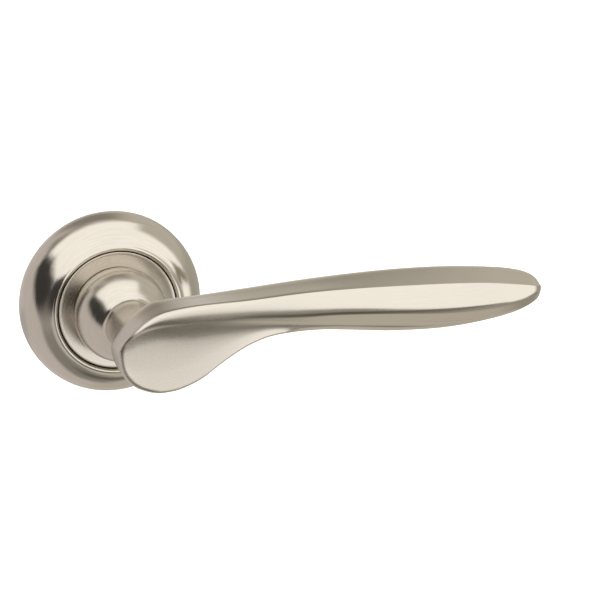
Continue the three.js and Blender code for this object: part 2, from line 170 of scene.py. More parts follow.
tent = mix_colour(sky, right_side, wall_colour, right_wall)
for mask, colour in ((straight_behind, rear_high_colour), (left_behind, rear_high_colour),
                     (low_behind, rear_low_colour), (backdrop, backdrop_colour),
                     (table, table_colour), (low_front, front_low_colour), (lap, lap_colour),
                     (opening, opening_colour), (softbox, softbox_colour)):
    tent = mix_colour(sky, mask, tent, colour)

# Behind the object the camera sees plain white instead of the tent.
camera_ray = sky.nodes.new("ShaderNodeLightPath").outputs["Is Camera Ray"]
seen = mix_colour(sky, camera_ray, tent, (1, 1, 1, 1))
surroundings = add_node(sky, "ShaderNodeBackground", Color=seen, Strength=1.0)
feed(sky.nodes.new("ShaderNodeOutputWorld").inputs["Surface"], surroundings.outputs[0])

lamp_colour = (1, 0.98, 0.95)
lamp_target = Vector((0.04, 0, 0))
for name, place, width, length, power in (("key_softbox", (-0.3, -0.9, 1.0), 0.9, 0.7, 9),
                                          ("fill_softbox", (0.9, -0.5, 0.6), 0.7, 0.7, 4)):
    lamp_data = bpy.data.lights.new(name, "AREA")
    lamp_data.shape = "RECTANGLE"
    lamp_data.size = width
    lamp_data.size_y = length
    lamp_data.energy = power
    lamp_data.color = lamp_colour
    lamp = bpy.data.objects.new(name, lamp_data)
    lamp.location = place
    lamp.rotation_euler = (lamp_target - lamp.location).to_track_quat("-Z", "Y").to_euler()
    lamp.visible_glossy = False
    bpy.context.scene.collection.objects.link(lamp)


def only(*picked):
    """Leaves just these objects selected, the first of them active."""
    if bpy.context.object and bpy.context.object.mode != "OBJECT":
        bpy.ops.object.mode_set(mode="OBJECT")
    bpy.ops.object.select_all(action="DESELECT")
    for piece in picked:
        piece.select_set(True)
    bpy.context.view_layer.objects.active = picked[0] if picked else None


paper_drop = 0.14
only()
bpy.ops.mesh.primitive_plane_add(size=14, location=(0, 0, -paper_drop))
floor = bpy.context.object
floor.name = "floor"
floor.visible_glossy = False
paper = bpy.data.materials.new("white_paper")
paper.use_nodes = True
paper_shader = paper.node_tree.nodes["Principled BSDF"]
paper_shader.inputs["Base Color"].default_value = (0.93, 0.93, 0.925, 1)
paper_shader.inputs["Roughness"].default_value = 0.9
paper_shader.inputs["Emission Color"].default_value = (1, 1, 1, 1)
paper_shader.inputs["Emission Strength"].default_value = 0.35
floor.data.materials.append(paper)


# ---------------------------------------------------------------------------------------------
# Rose cover. A domed shell pressed from sheet metal, with a rolled bead round its opening. It is
# brushed as it turns, then nickel plated, and it snaps over the base plate on a wire ring.
# ---------------------------------------------------------------------------------------------
def size_of(node):
    """A built piece's lowest and highest corners in mm."""
    low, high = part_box(node)
    return low / MM, high / MM


def drawn(name, outline, angle=0):
    """A closed outline of (radius, height off the door) in mm, stood up at an angle round the spindle.

    It is left in edit mode with all of it selected.
    """
    only()
    bpy.ops.mesh.primitive_circle_add(vertices=len(outline), radius=MM)
    piece = bpy.context.object
    piece.name = piece.data.name = name
    bpy.ops.object.mode_set(mode="EDIT")
    across, up = math.cos(angle) * MM, math.sin(angle) * MM
    corners = bmesh.from_edit_mesh(piece.data).verts
    for corner, (radius, height) in zip(corners, outline):
        corner.co = (radius * across, -height * MM, radius * up)
    bmesh.update_edit_mesh(piece.data)
    bpy.ops.mesh.select_all(action="SELECT")
    return piece


def face_outwards():
    bpy.ops.mesh.select_all(action="SELECT")
    bpy.ops.mesh.normals_make_consistent(inside=False)
    bpy.ops.object.mode_set(mode="OBJECT")


def turn(name, outline, steps):
    """Turns an outline all the way round the spindle's line, as on a lathe."""
    piece = drawn(name, outline)
    bpy.ops.mesh.spin(steps=steps, angle=2 * math.pi, center=(0, 0, 0), axis=(0, 1, 0))
    bpy.ops.mesh.select_all(action="SELECT")
    bpy.ops.mesh.remove_doubles(threshold=2e-6)
    bpy.ops.mesh.dissolve_degenerate(threshold=1e-7)
    face_outwards()
    return piece


def arc(centre, radius, start, end, steps, stretch=1.0):
    """Points of an arc, with its angles in degrees from outwards towards the room."""
    points = []
    for i in range(steps + 1):
        angle = math.radians(start + (end - start) * i / steps)
        points.append((centre[0] + radius * math.cos(angle), centre[1] + stretch * radius * math.sin(angle)))
    return points


def smoothed(piece, sharp):
    """Shades a piece smooth, but for edges sharper than this many degrees."""
    only(piece)
    bpy.ops.object.shade_smooth_by_angle(angle=math.radians(sharp))


cover_low, cover_high = size_of("rose_cover")
cover_radius, cover_top = cover_high.x, -cover_low.y
trim_low, trim_high = size_of("trim_ring")
trim_radius, trim_top, trim_seat = trim_high.x, -trim_low.y, -trim_high.y
cover_wall = 0.9
skirt_height = 1.2
skirt_round = 0.15
dome_sweep, dome_steps = 80, 26
bead_width, bead_rise = 1.7, 0.8
lip_radius = trim_radius + 0.25
lip_depth = 1.9
crown_radius = lip_radius + bead_width
crown_height = cover_top - bead_rise


def dome(inset):
    """The dome's quarter ellipse from the skirt up to the bead, moved in by the inset."""
    run = cover_radius - crown_radius - inset
    climb = crown_height - skirt_height - inset
    angles = [math.radians(dome_sweep * i / dome_steps) for i in range(dome_steps + 1)]
    return [(crown_radius + run * math.cos(a), skirt_height + climb * math.sin(a)) for a in angles]


bead_half = bead_width / 2
bead = arc((lip_radius + bead_half, crown_height), bead_half, 28, 180, 16, bead_rise / bead_half)
cover_outside = [(cover_radius - skirt_round, 0), (cover_radius, skirt_round)] + dome(0) + bead
cover_lip = [(lip_radius, cover_top - lip_depth), (lip_radius + cover_wall, cover_top - lip_depth)]
cover_inside = dome(cover_wall)[::-1] + [(cover_radius - cover_wall, 0)]
cover = turn("rose_cover_shell", cover_outside + cover_lip + cover_inside, 160)
smoothed(cover, 35)


def shader_group(name, inputs, outputs):
    group = bpy.data.node_groups.new(name, "ShaderNodeTree")
    for label, kind in inputs:
        group.interface.new_socket(label, in_out="INPUT", socket_type=kind)
    for label, kind in outputs:
        group.interface.new_socket(label, in_out="OUTPUT", socket_type=kind)
    return group, group.nodes.new("NodeGroupInput"), group.nodes.new("NodeGroupOutput")


def make_hairlines(name, turned):
    """Brushing: noise drawn out into streaks by the Stretch vector.

    Turned brushing is stretched along the angle round the spindle, the radius and the height.
    """
    group, given, result = shader_group(
        name,
        [("Vector", "NodeSocketVector"), ("Stretch", "NodeSocketVector"), ("Depth", "NodeSocketFloat")],
        [("Streaks", "NodeSocketFloat")])
    place = given.outputs["Vector"]
    if turned:
        across, along, up = add_node(group, "ShaderNodeSeparateXYZ", Vector=place).outputs
        angle = maths(group, "ARCTAN2", up, across)
        across_squared = maths(group, "MULTIPLY", across, across)
        up_squared = maths(group, "MULTIPLY", up, up)
        radius = maths(group, "SQRT", maths(group, "ADD", across_squared, up_squared))
        place = add_node(group, "ShaderNodeCombineXYZ", X=angle, Y=radius, Z=along).outputs[0]
    stretched = group.nodes.new("ShaderNodeVectorMath")
    stretched.operation = "MULTIPLY"
    feed(stretched.inputs[0], place)
    feed(stretched.inputs[1], given.outputs["Stretch"])
    drawn_out = stretched.outputs[0]
    coarse = add_node(group, "ShaderNodeTexNoise", Vector=drawn_out, Scale=1.0, Detail=3.0, Roughness=0.6)
    fine = add_node(group, "ShaderNodeTexNoise", Vector=drawn_out, Scale=3.1, Detail=4.0, Roughness=0.7)
    both = maths(group, "ADD", coarse.outputs[0], maths(group, "MULTIPLY", fine.outputs[0], 0.7))
    streaks = maths(group, "MULTIPLY", maths(group, "SUBTRACT", both, 0.85), given.outputs["Depth"])
    feed(result.inputs["Streaks"], streaks)
    return group


straight_hairlines = make_hairlines("straight_hairlines", turned=False)
turned_hairlines = make_hairlines("turned_hairlines", turned=True)


def brushed_surface(name, colour, roughness, hairlines, stretch, depth, bump, metallic=1.0):
    """A finish whose hairlines and faint clouds move its roughness, its colour and its relief a little."""
    material = bpy.data.materials.new(name)
    material.use_nodes = True
    tree = material.node_tree
    shader = tree.nodes["Principled BSDF"]
    shader.inputs["Metallic"].default_value = metallic
    place = tree.nodes.new("ShaderNodeTexCoord").outputs["Object"]
    lines = tree.nodes.new("ShaderNodeGroup")
    lines.node_tree = hairlines
    feed(lines.inputs["Vector"], place)
    feed(lines.inputs["Stretch"], stretch)
    feed(lines.inputs["Depth"], depth)
    streaks = lines.outputs["Streaks"]
    noise = add_node(tree, "ShaderNodeTexNoise", Vector=place, Scale=45.0, Detail=3.0, Roughness=0.55)
    cloud = maths(tree, "SUBTRACT", noise.outputs[0], 0.5)
    rougher = maths(tree, "ADD", maths(tree, "MULTIPLY", streaks, 0.12), maths(tree, "MULTIPLY", cloud, 0.06))
    feed(shader.inputs["Roughness"], maths(tree, "ADD", roughness, rougher))
    darker = tuple(0.86 * c for c in colour) + (1,)
    lighter = tuple(1.06 * c for c in colour) + (1,)
    share = maths(tree, "ADD", maths(tree, "MULTIPLY", streaks, 0.9), 0.5)
    share = maths(tree, "ADD", share, maths(tree, "MULTIPLY", cloud, 0.5))
    feed(shader.inputs["Base Color"], mix_colour(tree, share, darker, lighter))
    relief = add_node(tree, "ShaderNodeBump", Strength=bump, Distance=0.0001, Height=streaks)
    feed(shader.inputs["Normal"], relief.outputs[0])
    return material


def fitted(piece, body, material_slot, finish, *stands_for):
    """Gives a piece its metal, the body that it rides on and the built piece that it stands for."""
    piece.data.materials.clear()
    piece.data.materials.append(finish)
    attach(piece, body)
    if stands_for:
        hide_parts(*stands_for)


nickel = (0.70, 0.655, 0.58)
cover_nickel = brushed_surface("satin_nickel_rose", nickel, 0.12, turned_hairlines,
                               (2.2, 4200, 4200), 1.2, 0.16)
fitted(cover, "rose", "satin_nickel", cover_nickel, "rose_cover")

# ---------------------------------------------------------------------------------------------
# Trim ring. A dished metal ring, turned and nickel plated, between the cover's bead and the ball.
# It lies on the base plate's hub and leaves a dark running gap round the ball.
# ---------------------------------------------------------------------------------------------
trim_inner, trim_inner_top = 12.6, 10.55
dish_edge, dish_steps = 0.25, 6
dish = []
for i in range(dish_steps + 1):
    share = i / dish_steps
    dish.append((trim_radius - dish_edge - (trim_radius - 0.4 - trim_inner) * share,
                 trim_top - 0.02 - (trim_top - trim_inner_top) * share ** 0.9))
trim_rim = [(trim_inner, trim_seat), (trim_radius - 0.1, trim_seat), (trim_radius, trim_seat + 0.1),
            (trim_radius, trim_top - dish_edge), (trim_radius - 0.08, trim_top - 0.08)]
trim = turn("dished_trim_ring", trim_rim + dish + [(trim_inner, trim_inner_top - 0.2)], 160)
smoothed(trim, 40)
trim_nickel = brushed_surface("polished_nickel_ring", nickel, 0.28, turned_hairlines,
                              (1.2, 3600, 3600), 0.9, 0.1)
fitted(trim, "rose", "polished_nickel", trim_nickel, "trim_ring")


# ---------------------------------------------------------------------------------------------
# Lever. A nickel-plated zinc casting: a satin paddle over the spindle, and a polished spine that
# rises from the paddle's top left and broadens into the leaf-shaped grip.
# ---------------------------------------------------------------------------------------------
def through(places):
    """A smooth curve through (x, value) places, as a function of x."""
    xs = [x for x, value in places]
    ys = [value for x, value in places]
    last = len(places) - 1
    slopes = []
    for i in range(last + 1):
        before, after = max(i - 1, 0), min(i + 1, last)
        slopes.append((ys[after] - ys[before]) / (xs[after] - xs[before]))

    def value_at(x):
        if x <= xs[0]:
            return ys[0]
        if x >= xs[-1]:
            return ys[-1]
        i = max(k for k in range(last) if xs[k] <= x)
        step = xs[i + 1] - xs[i]
        t = (x - xs[i]) / step
        return (ys[i] * (1 + 2 * t) * (1 - t) ** 2 + slopes[i] * step * t * (1 - t) ** 2
                + ys[i + 1] * t * t * (3 - 2 * t) + slopes[i + 1] * step * t * t * (t - 1))

    return value_at


def limited(share):
    return min(1, max(0, share))


# Edges (z) and faces (height off the door) in mm along the lever, before its two ends are rounded.
paddle_end = -10.3
grip_tip = size_of("lever")[1].x - 0.5
top_edge = through([(-10.3, 8.6), (-7.6, 9.6), (-3.3, 11.2), (2.4, 12.7), (14, 13.3), (28, 14.2), (45, 15.3),
                    (62, 16), (80, 16.2), (98, 16.1), (114, 16.6)])
low_edge = through([(-10.3, -12.5), (-6.2, -11.9), (2.3, -11.3), (6.6, -10.7), (12.8, -8.2), (19.7, -3.5),
                    (26.6, 0.4), (33.5, 2.5), (42, 2.6), (56, 0.8), (70, -0.9), (84, -1.7), (98, -1.5),
                    (114, -1.3)])
back = through([(-10.3, 46), (20, 45), (60, 44.2), (90, 44.2), (114, 44.6)])
face = through([(-10.3, 56.2), (20, 56.3), (38, 56.1), (46, 55.5), (56, 54.6), (90, 53.4), (114, 52.4)])
spine_front = through([(-10.3, 56.3), (-8, 56.9), (-4, 57.5), (4, 57.9), (20, 58.1), (60, 58.3), (90, 57.2),
                       (114, 56.4)])
spine_top = through([(-10.3, 7.8), (-6, 9.2), (-3.3, 10.2), (3.6, 12), (12, 13), (26, 13.4), (43, 14.3),
                     (58, 14.4), (75, 13.9), (93, 13.3), (104, 12.7), (114, 12)])
spine_low = through([(-10.3, 7), (-6, 8), (-3, 8.7), (3.6, 9.3), (12, 9.6), (26, 9.3), (40, 8.3), (52, 7.7),
                     (78, 5.9), (93, 5.4), (104, 6), (114, 7.4)])
crease = through([(-10.3, 6.2), (-6, 7.2), (-3, 7.7), (3.6, 8.1), (9.6, 8.3), (16.6, 8.5), (26.6, 8.1),
                  (41, 6.5), (53, 5.6), (70, 3.9), (82, 2.5), (94, 1.6), (114, 1)])
crease_front = through([(-10.3, 56.25), (-6, 56.7), (3.6, 57.3), (20, 57.65), (41, 57.2), (53, 56.7),
                        (82, 55.6), (114, 54)])
bottom_front = through([(-10.3, 56.3), (20, 56.5), (36, 56.2), (44, 54), (52, 51.5), (70, 50.2), (90, 49.8),
                        (114, 49.6)])


def marked(points, satin):
    return [(height, z, satin) for height, z in points]


def section(x):
    """Control points of one cross-section as (height, z, satin), from the lower edge round by the back.

    Satin is 1 on the brushed paddle and 0 on the polished grip.
    """
    b, f, top, low = back(x), face(x), top_edge(x), low_edge(x)
    front, s_top, s_low = spine_front(x), spine_top(x), spine_low(x)
    c, c_front, edge = crease(x), crease_front(x), bottom_front(x)
    soft = min(0.9 + 0.7 * limited((x - 10) / 30), (top - low) * 0.1)
    tight = min(0.5, (top - low) * 0.05)
    fall = top - s_top - 0.5
    scoop = (c - low) * (0.55 + 0.45 * limited((x - 2) / 24))
    climb = c_front - f
    lip = [(edge, low + tight)]
    under = [(edge - tight, low), (edge - tight - 0.6, low), (b + 3.4, low + 0.2 * soft),
             (b + 1.1, low + 0.9 * soft)]
    rear = [(b, low + 2.4 * soft), (b, (low * 2 + top) / 3), (b, (low + 2 * top) / 3), (b, top - 2.2 * soft)]
    over = [(b + 0.15, top - 0.8 * soft), (b + 0.8, top - 0.1 * soft), (b + 2.4, top + 0.05),
            (b + 4.6, top - 0.1 * fall), (b * 0.5 + front * 0.5, top - 0.42 * fall),
            (b * 0.2 + front * 0.8, top - 0.78 * fall), (front - 0.9, s_top + 0.55)]
    spine = [(front - 0.35, s_top + 0.3), (front - 0.05, s_top - 0.1), (front, s_top - 0.7),
             (front, s_top * 0.35 + s_low * 0.65), (front - 0.15, s_low + 0.1)]
    flank = [(c_front * 0.55 + front * 0.45, (s_low + c) / 2), (c_front, c),
             (c_front - 0.05, c - tight * 0.3)]
    hollow = [(f + 0.63 * climb, c - 0.12 * scoop), (f + 0.3 * climb, c - 0.26 * scoop),
              (f + 0.09 * climb, c - 0.42 * scoop)]
    paddle = [(f, c * 0.4 + low * 0.6), (f * 0.75 + edge * 0.25, c * 0.28 + low * 0.72),
              (f * 0.35 + edge * 0.65, c * 0.12 + low * 0.88), (edge, low + tight + 0.35)]
    brushed, polished = limited((56 - x) / 16), 0.6 * limited((46 - x) / 30)
    return (marked(lip, brushed) + marked(under + rear + over + spine, polished)
            + marked(flank + hollow + paddle, brushed))


def rounded(points, count):
    """Count points spread along the smooth closed curve that the control points pull."""
    dense = []
    for i in range(len(points)):
        pulls = [points[(i + k) % len(points)] for k in range(4)]
        for step in range(8):
            t = step / 8
            weights = ((1 - t) ** 3 / 6, (3 * t ** 3 - 6 * t * t + 4) / 6,
                       (-3 * t ** 3 + 3 * t * t + 3 * t + 1) / 6, t ** 3 / 6)
            dense.append(tuple(sum(w * pull[j] for w, pull in zip(weights, pulls)) for j in range(3)))
    return [dense[int(i * len(dense) / count)] for i in range(count)]


def closing(distance, reach, power):
    """1 until the last stretch of an end, then down to 0 along a rounded curve."""
    return (1 - limited(distance / reach) ** power) ** (1 / power)


left_reach, left_middle, left_power = 13.3, 0.1, 2.1
tip_reach, tip_middle, tip_height, tip_power = 52.0, 8.6, 49.6, 2.65
front_round, back_round = 1.3, 0.5
wall_middle, wall_slack = 51, 3.5
left_start = paddle_end + left_reach
tip_start = grip_tip - tip_reach
round_steps = 60
round_places = [paddle_end + left_reach * (1 - math.cos(math.pi / 2 * i / round_steps))
                for i in range(round_steps + 1)]


def left_end(edge, x):
    share = closing(left_start - x, left_reach, left_power)
    return Vector((x, left_middle + (edge(x) - left_middle) * share))


left_outline = [left_end(top_edge, x) for x in round_places[::-1]]
left_outline += [left_end(low_edge, x) for x in round_places[1:]]


def distance(point, start, end):
    along = end - start
    share = limited((point - start).dot(along) / along.length_squared)
    return (point - start - along * share).length


def fallen(x, z, radius):
    """How far a face falls back near the rounded left end, so that its edge is a fillet of this radius."""
    point = Vector((x, z))
    reach = min(distance(point, a, b) for a, b in zip(left_outline, left_outline[1:]))
    drop = radius - math.sqrt(radius ** 2 - max(0, radius - reach) ** 2)
    return drop * limited((1 - x) / 4)


around, stations = 108, 190
lever_rings = []
for station in range(1, stations):
    x = paddle_end + (grip_tip - paddle_end) * (1 - math.cos(math.pi * station / stations)) / 2
    left = closing(left_start - x, left_reach, left_power)
    right = closing(x - tip_start, tip_reach, tip_power)
    thinner = closing(x - tip_start, tip_reach, 4)
    lever_ring = []
    for height, z, satin in rounded(section(x), around):
        z = left_middle + (z - left_middle) * left
        if x > tip_start:
            z = tip_middle + (z - tip_middle) * right
        height = tip_height + (height - tip_height) * thinner
        if x < 1:
            height -= fallen(x, z, front_round) * limited((height - wall_middle) / wall_slack)
            height += fallen(x, z, back_round) * limited((wall_middle - height) / wall_slack)
        lever_ring.append((x, height, z, satin))
    lever_rings.append(lever_ring)


def loft(name, rings):
    """Draws a tube out ring by ring from a circle and closes both ends. A ring is (x, height, z, satin)."""
    piece = drawn(name, [(1, 0)] * len(rings[0]))
    work = bmesh.from_edit_mesh(piece.data)
    work.verts.layers.float.new("satin")
    order = {vertex: i for i, vertex in enumerate(work.verts)}

    def shape(ring):
        satin_layer = work.verts.layers.float["satin"]
        for vertex, i in order.items():
            x, height, z, satin = ring[i]
            vertex.co = (x * MM, -height * MM, z * MM)
            vertex[satin_layer] = satin

    shape(rings[0])
    bpy.ops.mesh.edge_face_add()
    bpy.ops.mesh.select_all(action="DESELECT")
    for edge in work.edges:
        edge.select = True
    for ring in rings[1:]:
        bpy.ops.mesh.extrude_edges_move()
        work = bmesh.from_edit_mesh(piece.data)
        extruded = {}
        for vertex in (v for v in work.verts if v.select):
            source = next(e.other_vert(vertex) for e in vertex.link_edges if not e.other_vert(vertex).select)
            extruded[vertex] = order[source]
        order = extruded
        shape(ring)
    bpy.ops.mesh.edge_face_add()
    face_outwards()
    return piece


lever = loft("sculpted_lever", lever_rings)
smoothed(lever, 50)
lever_nickel = brushed_surface("satin_nickel_lever", nickel, 0.1, straight_hairlines,
                               (180, 4200, 4200), 0.6, 0.03)
lever_tree = lever_nickel.node_tree
lever_roughness = lever_tree.nodes["Principled BSDF"].inputs["Roughness"]
satin_share = lever_tree.nodes.new("ShaderNodeAttribute")
satin_share.attribute_name = "satin"
satin_roughness = maths(lever_tree, "MULTIPLY", satin_share.outputs["Fac"], 0.18)
feed(lever_roughness, maths(lever_tree, "ADD", lever_roughness.links[0].from_socket, satin_roughness))
fitted(lever, "handle", "lever_nickel", lever_nickel, "lever")

# ---------------------------------------------------------------------------------------------
# Ball and neck. They are part of the lever's casting, turned true and brushed round before the
# plating: the shank that runs in the bush, a shoulder, the ball, and the neck up to the paddle.
# ---------------------------------------------------------------------------------------------
shank_radius, shank_end, shank_round = 8, 1.0, 0.1
shoulder_height = 10.05
ball_radius, ball_height = 13.5, 15.7
neck_radius, neck_fillet, neck_end = 7.4, 2, 47.5
shoulder_angle, neck_angle = -24.7, 52.7
fillet_centre, fillet_angle = (neck_radius + neck_fillet, 28.02), 231
shank = [(0, shank_end), (shank_radius - shank_round, shank_end), (shank_radius, shank_end + shank_round),
         (shank_radius, shoulder_height)]
ball = arc((0, ball_height), ball_radius, shoulder_angle, neck_angle, 40)
fillet = arc(fillet_centre, neck_fillet, fillet_angle, 180, 8)
neck = turn("ball_neck", shank + ball + fillet + [(neck_radius, neck_end), (0, neck_end)], 128)
smoothed(neck, 30)
neck_nickel = brushed_surface("satin_nickel_neck", nickel, 0.17, turned_hairlines,
                              (1.6, 3600, 3600), 1.2, 0.15)
fitted(neck, "handle", "lever_nickel", neck_nickel)


# ---------------------------------------------------------------------------------------------
# Spindle. A square bar of drawn steel, zinc plated, with broken edges and chamfered ends. It is
# held in the lever's socket by a grub screw and reaches through the door.
# ---------------------------------------------------------------------------------------------
def block(name, low, high):
    """A box between two corners in mm."""
    only()
    low, high = Vector(low) * MM, Vector(high) * MM
    bpy.ops.mesh.primitive_cube_add(size=1, location=(low + high) / 2, scale=high - low)
    bpy.ops.object.transform_apply(location=True, rotation=False, scale=True)
    piece = bpy.context.object
    piece.name = piece.data.name = name
    return piece


zinc_plate = brushed_surface("bright_zinc_plate", (0.66, 0.68, 0.71), 0.26, straight_hairlines,
                             (1800, 160, 1800), 0.3, 0.02)
broken_edge = 0.45
spindle = block("square_spindle", *size_of("spindle"))
bpy.ops.object.mode_set(mode="EDIT")
bpy.ops.mesh.select_all(action="SELECT")
bpy.ops.mesh.bevel(offset=broken_edge * MM, segments=3, affect="EDGES")
bpy.ops.object.mode_set(mode="OBJECT")
smoothed(spindle, 40)
fitted(spindle, "handle", "zinced_steel", zinc_plate, "spindle")


# ---------------------------------------------------------------------------------------------
# Bolts and wood screws. Two M4 bolts with pan heads clamp the pair through the door, and two
# countersunk wood screws hold the plate. Their threads are rolled, and they are zinc plated.
# ---------------------------------------------------------------------------------------------
def shifted(piece, x, z):
    """Moves a piece's surface sideways from the spindle's line, in mm."""
    only(piece)
    bpy.ops.object.mode_set(mode="EDIT")
    bpy.ops.mesh.select_all(action="SELECT")
    bpy.ops.transform.translate(value=(x * MM, 0, z * MM))
    bpy.ops.object.mode_set(mode="OBJECT")
    return piece


def another(piece, name):
    twin = piece.copy()
    twin.data = piece.data.copy()
    twin.name = twin.data.name = name
    bpy.context.scene.collection.objects.link(twin)
    return twin


def cut(piece, *cutters):
    for cutter in cutters:
        only(piece)
        modifier = piece.modifiers.new("cut", "BOOLEAN")
        modifier.operation = "DIFFERENCE"
        modifier.object = cutter
        bpy.ops.object.modifier_apply(modifier=modifier.name)
        bpy.data.objects.remove(cutter)


def thread(piece, low, high, pitch, depth, sharpness=1):
    """Presses a right-handed thread into a turned shank between two heights in mm."""
    radii = [math.hypot(v.co.x, v.co.z) for v in piece.data.vertices if low < -v.co.y / MM < high]
    full = max(radii)
    for vertex in piece.data.vertices:
        height = -vertex.co.y / MM
        radius = math.hypot(vertex.co.x, vertex.co.z)
        if low < height < high and radius > 0.02 * full:
            turns = math.atan2(vertex.co.z, vertex.co.x) / (2 * math.pi)
            root = 1 - abs(2 * ((height / pitch - turns) % 1) - 1) ** sharpness
            fade = min(1, (high - height) / pitch) * radius / full
            share = 1 - depth * MM * root * fade / radius
            vertex.co.x *= share
            vertex.co.z *= share


def between(start, end, step):
    """Heights from start to end, without the two, no further apart than the step."""
    count = math.ceil(abs(end - start) / step)
    return [start + (end - start) * i / count for i in range(1, count)]


def cross_recess(reach, low, high):
    """Cutters for the driver's cross in a head."""
    half = 0.45
    return (block("cutter", (-reach, -high, -half), (reach, -low, half)),
            block("cutter", (-half, -high, -reach), (half, -low, reach)))


plate_floor = 3.4
fixing_radius = 19
bolt_low, bolt_high = size_of("fixing_bolt_right")
bolt_end, bolt_top, bolt_seat = -bolt_high.y, -bolt_low.y, plate_floor + 0.1
bolt_radius, bolt_head = 2, (bolt_high.x - bolt_low.x) / 2
bolt_pitch, bolt_thread, bolt_thread_top = 0.7, 0.3, -1.5
bolt_recess = 1.4
pan_radius = 6
bolt_shank = [(bolt_radius, h) for h in between(bolt_end + 0.5, bolt_seat, bolt_pitch / 8)]
bolt_outline = [(0, bolt_end), (bolt_radius - 0.4, bolt_end), (bolt_radius, bolt_end + 0.5)] + bolt_shank
bolt_outline += [(bolt_radius, bolt_seat), (bolt_head, bolt_seat)]
bolt_outline += arc((bolt_head - 1, bolt_seat + 1.1), 1, 0, 60, 5)
bolt_outline += arc((0, bolt_top - pan_radius), pan_radius, 66, 90, 6)
bolt = turn("pan_head_bolt_right", bolt_outline, 36)
thread(bolt, bolt_end, bolt_thread_top, bolt_pitch, bolt_thread)
cut(bolt, *cross_recess(bolt_recess, bolt_top - bolt_recess, bolt_top + 1))

screw_low, screw_high = size_of("wood_screw_top")
screw_tip, screw_top = -screw_high.y, plate_floor
screw_radius, screw_head = 1.7, (screw_high.x - screw_low.x) / 2
screw_point, screw_sink = 4, 1.9
screw_pitch, screw_thread, screw_thread_top = 1.6, 0.62, -0.5
screw_heights = between(screw_tip, screw_top - screw_sink, screw_pitch / 12)
screw_shank = [(screw_radius * min(1, (h - screw_tip) / screw_point), h) for h in screw_heights]
screw_crown = [(screw_radius, screw_top - screw_sink), (screw_head - 0.1, screw_top - 0.1),
               (screw_head, screw_top), (screw_head * 0.6, screw_top + 0.2), (0, screw_top + 0.3)]
screw = turn("wood_screw_upper", [(0, screw_tip)] + screw_shank + screw_crown, 36)
thread(screw, screw_tip, screw_thread_top, screw_pitch, screw_thread, 3)
cut(screw, *cross_recess(1.2, screw_top - 0.9, screw_top + 1))

left_bolt = another(bolt, "pan_head_bolt_left")
lower_screw = another(screw, "wood_screw_lower")
for piece, x, z, node in ((bolt, fixing_radius, 0, "fixing_bolt_right"),
                          (left_bolt, -fixing_radius, 0, "fixing_bolt_left"),
                          (screw, 0, fixing_radius, "wood_screw_top"),
                          (lower_screw, 0, -fixing_radius, "wood_screw_bottom")):
    smoothed(shifted(piece, x, z), 50)
    fitted(piece, "rose", "zinced_steel", zinc_plate, node)


# ---------------------------------------------------------------------------------------------
# Base plate. A zinc die casting: a flat flange with sunk seats for its fixings and a groove for
# the cover's wire ring, and a hub that holds the spring, with four stop blocks for the cam's lugs.
# ---------------------------------------------------------------------------------------------
def sector(name, outline, start, sweep, steps):
    """Sweeps an outline through part of a turn, in degrees, and closes both ends."""
    piece = drawn(name, outline, math.radians(start))
    bpy.ops.mesh.spin(steps=steps, angle=-math.radians(sweep), center=(0, 0, 0), axis=(0, 1, 0))
    bpy.ops.mesh.select_all(action="SELECT")
    bpy.ops.mesh.fill_holes(sides=0)
    face_outwards()
    return piece


zinc_cast = brushed_surface("die_cast_zinc", (0.42, 0.42, 0.41), 0.5, straight_hairlines,
                            (900, 900, 900), 0.5, 0.3)
plate_low, plate_high = size_of("base_plate")
plate_radius, plate_top = plate_high.x, -plate_low.y
plate_side = plate_radius - 0.1
hub_radius, bush_hole = 16.8, 9.5
chamber_radius, chamber_top = 13.6, plate_top - 1.2
lid_low, lid_high = size_of("chamber_lid")
lid_radius, lid_top, lid_back = lid_high.x, -lid_low.y, -lid_high.y
lid_seat, lid_step = lid_radius + 0.3, lid_top + 0.1
groove = arc((plate_side, 1.7), 0.6, -90, -270, 8)
flange = [(lid_seat, 0.15), (lid_seat + 0.15, 0), (plate_radius - 0.3, 0), (plate_side, 0.2)] + groove
flange += [(plate_side, plate_floor - 0.4), (plate_radius - 0.5, plate_floor)]
hub = [(hub_radius + 0.6, plate_floor), (hub_radius + 0.15, plate_floor + 0.15),
       (hub_radius, plate_floor + 0.6), (hub_radius, plate_top - 0.3), (hub_radius - 0.3, plate_top),
       (bush_hole + 0.2, plate_top), (bush_hole, plate_top - 0.2), (bush_hole, chamber_top)]
chamber = [(chamber_radius - 0.5, chamber_top), (chamber_radius, chamber_top - 0.5),
           (chamber_radius, lid_step), (lid_seat, lid_step)]
plate = turn("cast_base_plate", flange + hub + chamber, 144)

pocket_floor = plate_floor + 0.05
for x, z, shank, head, sink in ((fixing_radius, 0, bolt_radius, bolt_head, 0),
                                (-fixing_radius, 0, bolt_radius, bolt_head, 0),
                                (0, fixing_radius, screw_radius, screw_head, 2.1),
                                (0, -fixing_radius, screw_radius, screw_head, 2.1)):
    hole, pocket = shank + 0.22, head + 0.3
    seat = turn("cutter", [(0, -1), (hole, -1), (hole, pocket_floor - sink), (pocket, pocket_floor),
                           (pocket, plate_top + 1), (0, plate_top + 1)], 48)
    cut(plate, shifted(seat, x, z))

